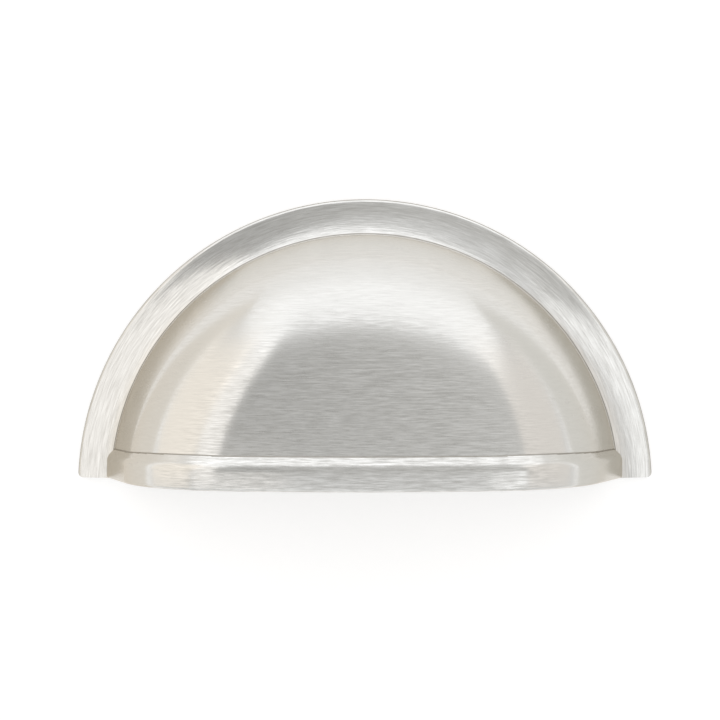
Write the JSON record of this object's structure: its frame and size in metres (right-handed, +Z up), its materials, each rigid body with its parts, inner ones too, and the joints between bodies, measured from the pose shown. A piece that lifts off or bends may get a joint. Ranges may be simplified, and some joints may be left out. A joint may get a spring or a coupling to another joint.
{
  "type": "cup pull",
  "caption": "Half-round cup pull for a drawer front: a hollow dome with a flat flange and a raised rim along its open bottom edge, screwed on from behind.",
  "frame": {"origin": "on the flat back face, midway between the screw holes", "axes": "+X along the drawer front, +Y out of the back face into the drawer front, +Z up as mounted"},
  "size_m": [0.0948, 0.025, 0.046],
  "materials": {
    "satin_nickel": "brushed satin nickel plate over cast brass"
  },
  "bodies": {
    "root": {"cup_pull": "satin_nickel"}
  },
  "joints": []
}
